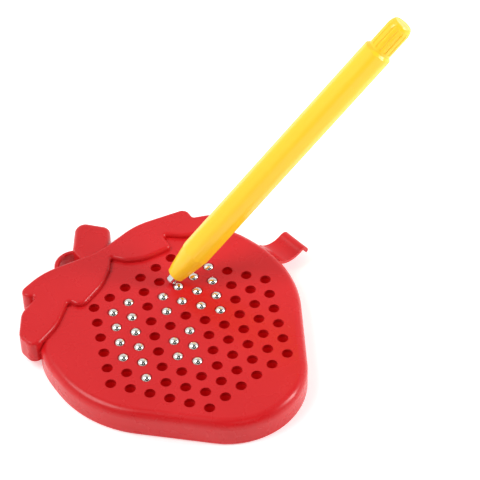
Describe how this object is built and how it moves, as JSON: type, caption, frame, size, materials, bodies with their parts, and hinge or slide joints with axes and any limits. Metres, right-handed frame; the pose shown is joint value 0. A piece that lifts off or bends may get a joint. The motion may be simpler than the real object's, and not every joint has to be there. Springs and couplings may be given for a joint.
{
  "type": "magnetic bead drawing board",
  "caption": "Berry-shaped board of steel beads in a hexagonal grid of holes, with a magnet pen that pulls beads up to draw dots and a side clip that stores the pen.",
  "frame": {"origin": "on the flat back that the board rests on, straight under the middle bead", "axes": "+Z out of the board's face, +Y towards the stem, +X to the side with the pen clip"},
  "size_m": [0.1543, 0.1277, 0.1221],
  "materials": {
    "red_case": "satin moulded plastic",
    "red_inner": "matt moulded plastic",
    "dark_sheet": "soft foam sheet",
    "screw_steel": "zinc plated",
    "bead_steel": "polished steel",
    "yellow_pen": "satin gloss moulded plastic",
    "magnet_plate": "bright nickel plate"
  },
  "bodies": {
    "case": {"top_case": "red_case", "grip_sheet": "dark_sheet", "bead_guide": "red_inner", "back_cover": "red_case", "case_screws": "screw_steel", "stem": "red_case", "hanging_loop": "red_case", "pen_clip": "red_case"},
    "pen": {"pen_barrel": "yellow_pen", "pen_end_cap": "yellow_pen", "pen_magnet": "magnet_plate"},
    "bead_01": {"bead_01": "bead_steel"},
    "bead_02": {"bead_02": "bead_steel"},
    "bead_03": {"bead_03": "bead_steel"},
    "bead_04": {"bead_04": "bead_steel"},
    "bead_05": {"bead_05": "bead_steel"},
    "bead_06": {"bead_06": "bead_steel"},
    "bead_07": {"bead_07": "bead_steel"},
    "bead_08": {"bead_08": "bead_steel"},
    "bead_09": {"bead_09": "bead_steel"},
    "bead_10": {"bead_10": "bead_steel"},
    "bead_11": {"bead_11": "bead_steel"},
    "bead_12": {"bead_12": "bead_steel"},
    "bead_13": {"bead_13": "bead_steel"},
    "bead_14": {"bead_14": "bead_steel"},
    "bead_15": {"bead_15": "bead_steel"},
    "bead_16": {"bead_16": "bead_steel"},
    "bead_17": {"bead_17": "bead_steel"},
    "bead_18": {"bead_18": "bead_steel"},
    "bead_19": {"bead_19": "bead_steel"},
    "bead_20": {"bead_20": "bead_steel"},
    "bead_21": {"bead_21": "bead_steel"},
    "bead_22": {"bead_22": "bead_steel"},
    "bead_23": {"bead_23": "bead_steel"},
    "bead_24": {"bead_24": "bead_steel"},
    "bead_25": {"bead_25": "bead_steel"},
    "bead_26": {"bead_26": "bead_steel"},
    "bead_27": {"bead_27": "bead_steel"},
    "bead_28": {"bead_28": "bead_steel"},
    "low_beads_row_01": {"low_beads_row_01": "bead_steel"},
    "low_beads_row_02": {"low_beads_row_02": "bead_steel"},
    "low_beads_row_03": {"low_beads_row_03": "bead_steel"},
    "low_beads_row_04": {"low_beads_row_04": "bead_steel"},
    "low_beads_row_05": {"low_beads_row_05": "bead_steel"},
    "low_beads_row_06": {"low_beads_row_06": "bead_steel"},
    "low_beads_row_07": {"low_beads_row_07": "bead_steel"},
    "low_beads_row_08": {"low_beads_row_08": "bead_steel"},
    "low_beads_row_09": {"low_beads_row_09": "bead_steel"},
    "low_beads_row_10": {"low_beads_row_10": "bead_steel"},
    "low_beads_row_11": {"low_beads_row_11": "bead_steel"}
  },
  "joints": [
    {"name": "pen_lift", "type": "slide", "parent": "case", "child": "pen", "axis": [0.6138, -0.2644, 0.7438], "range_m": [0, 0.12]},
    {"name": "bead_01_press", "type": "slide", "parent": "case", "child": "bead_01", "axis": [0, 0, 1], "range_m": [-0.0058, 0]},
    {"name": "bead_02_press", "type": "slide", "parent": "case", "child": "bead_02", "axis": [0, 0, 1], "range_m": [-0.0058, 0]},
    {"name": "bead_03_press", "type": "slide", "parent": "case", "child": "bead_03", "axis": [0, 0, 1], "range_m": [-0.0058, 0]},
    {"name": "bead_04_press", "type": "slide", "parent": "case", "child": "bead_04", "axis": [0, 0, 1], "range_m": [-0.0058, 0]},
    {"name": "bead_05_press", "type": "slide", "parent": "case", "child": "bead_05", "axis": [0, 0, 1], "range_m": [-0.0058, 0]},
    {"name": "bead_06_press", "type": "slide", "parent": "case", "child": "bead_06", "axis": [0, 0, 1], "range_m": [-0.0058, 0]},
    {"name": "bead_07_press", "type": "slide", "parent": "case", "child": "bead_07", "axis": [0, 0, 1], "range_m": [-0.0058, 0]},
    {"name": "bead_08_press", "type": "slide", "parent": "case", "child": "bead_08", "axis": [0, 0, 1], "range_m": [-0.0058, 0]},
    {"name": "bead_09_press", "type": "slide", "parent": "case", "child": "bead_09", "axis": [0, 0, 1], "range_m": [-0.0058, 0]},
    {"name": "bead_10_press", "type": "slide", "parent": "case", "child": "bead_10", "axis": [0, 0, 1], "range_m": [-0.0058, 0]},
    {"name": "bead_11_press", "type": "slide", "parent": "case", "child": "bead_11", "axis": [0, 0, 1], "range_m": [-0.0058, 0]},
    {"name": "bead_12_press", "type": "slide", "parent": "case", "child": "bead_12", "axis": [0, 0, 1], "range_m": [-0.0058, 0]},
    {"name": "bead_13_press", "type": "slide", "parent": "case", "child": "bead_13", "axis": [0, 0, 1], "range_m": [-0.0058, 0]},
    {"name": "bead_14_press", "type": "slide", "parent": "case", "child": "bead_14", "axis": [0, 0, 1], "range_m": [-0.0058, 0]},
    {"name": "bead_15_press", "type": "slide", "parent": "case", "child": "bead_15", "axis": [0, 0, 1], "range_m": [-0.0058, 0]},
    {"name": "bead_16_press", "type": "slide", "parent": "case", "child": "bead_16", "axis": [0, 0, 1], "range_m": [-0.0058, 0]},
    {"name": "bead_17_press", "type": "slide", "parent": "case", "child": "bead_17", "axis": [0, 0, 1], "range_m": [-0.0058, 0]},
    {"name": "bead_18_press", "type": "slide", "parent": "case", "child": "bead_18", "axis": [0, 0, 1], "range_m": [-0.0058, 0]},
    {"name": "bead_19_press", "type": "slide", "parent": "case", "child": "bead_19", "axis": [0, 0, 1], "range_m": [-0.0058, 0]},
    {"name": "bead_20_press", "type": "slide", "parent": "case", "child": "bead_20", "axis": [0, 0, 1], "range_m": [-0.0058, 0]},
    {"name": "bead_21_press", "type": "slide", "parent": "case", "child": "bead_21", "axis": [0, 0, 1], "range_m": [-0.0058, 0]},
    {"name": "bead_22_press", "type": "slide", "parent": "case", "child": "bead_22", "axis": [0, 0, 1], "range_m": [-0.0058, 0]},
    {"name": "bead_23_press", "type": "slide", "parent": "case", "child": "bead_23", "axis": [0, 0, 1], "range_m": [-0.0058, 0]},
    {"name": "bead_24_press", "type": "slide", "parent": "case", "child": "bead_24", "axis": [0, 0, 1], "range_m": [-0.0058, 0]},
    {"name": "bead_25_press", "type": "slide", "parent": "case", "child": "bead_25", "axis": [0, 0, 1], "range_m": [-0.0058, 0]},
    {"name": "bead_26_press", "type": "slide", "parent": "case", "child": "bead_26", "axis": [0, 0, 1], "range_m": [-0.0058, 0]},
    {"name": "bead_27_press", "type": "slide", "parent": "case", "child": "bead_27", "axis": [0, 0, 1], "range_m": [-0.0058, 0]},
    {"name": "bead_28_press", "type": "slide", "parent": "case", "child": "bead_28", "axis": [0, 0, 1], "range_m": [-0.0058, 0]},
    {"name": "low_beads_row_01_rise", "type": "slide", "parent": "case", "child": "low_beads_row_01", "axis": [0, 0, 1], "range_m": [0, 0.0058]},
    {"name": "low_beads_row_02_rise", "type": "slide", "parent": "case", "child": "low_beads_row_02", "axis": [0, 0, 1], "range_m": [0, 0.0058]},
    {"name": "low_beads_row_03_rise", "type": "slide", "parent": "case", "child": "low_beads_row_03", "axis": [0, 0, 1], "range_m": [0, 0.0058]},
    {"name": "low_beads_row_04_rise", "type": "slide", "parent": "case", "child": "low_beads_row_04", "axis": [0, 0, 1], "range_m": [0, 0.0058]},
    {"name": "low_beads_row_05_rise", "type": "slide", "parent": "case", "child": "low_beads_row_05", "axis": [0, 0, 1], "range_m": [0, 0.0058]},
    {"name": "low_beads_row_06_rise", "type": "slide", "parent": "case", "child": "low_beads_row_06", "axis": [0, 0, 1], "range_m": [0, 0.0058]},
    {"name": "low_beads_row_07_rise", "type": "slide", "parent": "case", "child": "low_beads_row_07", "axis": [0, 0, 1], "range_m": [0, 0.0058]},
    {"name": "low_beads_row_08_rise", "type": "slide", "parent": "case", "child": "low_beads_row_08", "axis": [0, 0, 1], "range_m": [0, 0.0058]},
    {"name": "low_beads_row_09_rise", "type": "slide", "parent": "case", "child": "low_beads_row_09", "axis": [0, 0, 1], "range_m": [0, 0.0058]},
    {"name": "low_beads_row_10_rise", "type": "slide", "parent": "case", "child": "low_beads_row_10", "axis": [0, 0, 1], "range_m": [0, 0.0058]},
    {"name": "low_beads_row_11_rise", "type": "slide", "parent": "case", "child": "low_beads_row_11", "axis": [0, 0, 1], "range_m": [0, 0.0058]}
  ]
}
